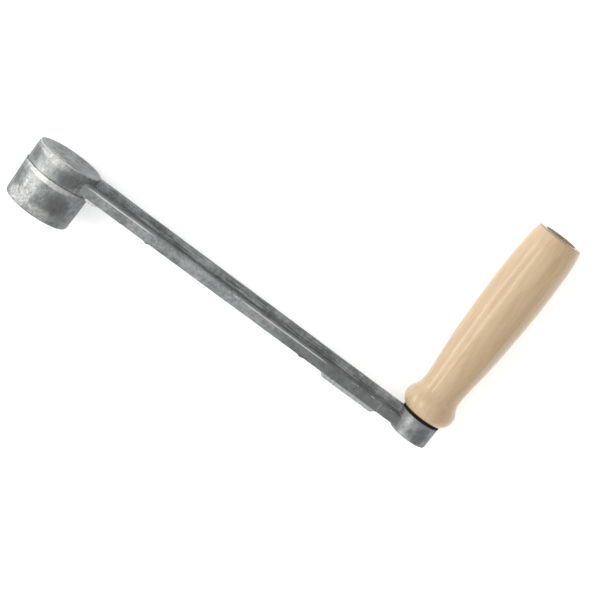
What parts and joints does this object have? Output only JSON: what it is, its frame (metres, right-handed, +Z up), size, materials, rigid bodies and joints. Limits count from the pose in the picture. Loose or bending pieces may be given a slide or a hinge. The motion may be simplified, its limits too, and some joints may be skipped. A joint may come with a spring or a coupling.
{
  "type": "string winder",
  "caption": "Hand crank that fits over a double bass tuner key: cast metal arm with a key cup at one end and a free-turning turned wood grip at the other.",
  "frame": {"origin": "centre of the key cup's mouth", "axes": "the winder lies on its side: +X from the cup to the grip's axis, +Y along the cup's axis towards its closed end and the grip's side, +Z up from the table"},
  "size_m": [0.2605, 0.1522, 0.0388],
  "materials": {
    "cast_metal": "as-cast, filed along the parting line",
    "varnished_wood": "clear gloss varnish on pale beech",
    "bright_steel": "zinc plated, pale yellow passivated",
    "black_fibre": "matt vulcanised fibre"
  },
  "bodies": {
    "crank": {"crank_casting": "cast_metal", "spindle_bolt": "bright_steel", "spindle_sleeve": "bright_steel", "head_washer": "bright_steel", "base_washer": "black_fibre", "spring_washer": "bright_steel", "spindle_nut": "bright_steel"},
    "handle": {"grip": "varnished_wood"}
  },
  "joints": [
    {"name": "grip_spin", "type": "hinge", "parent": "crank", "child": "handle", "pos_m": [0.226, 0.0935, 0], "axis": [0, 1, 0], "continuous": true}
  ]
}
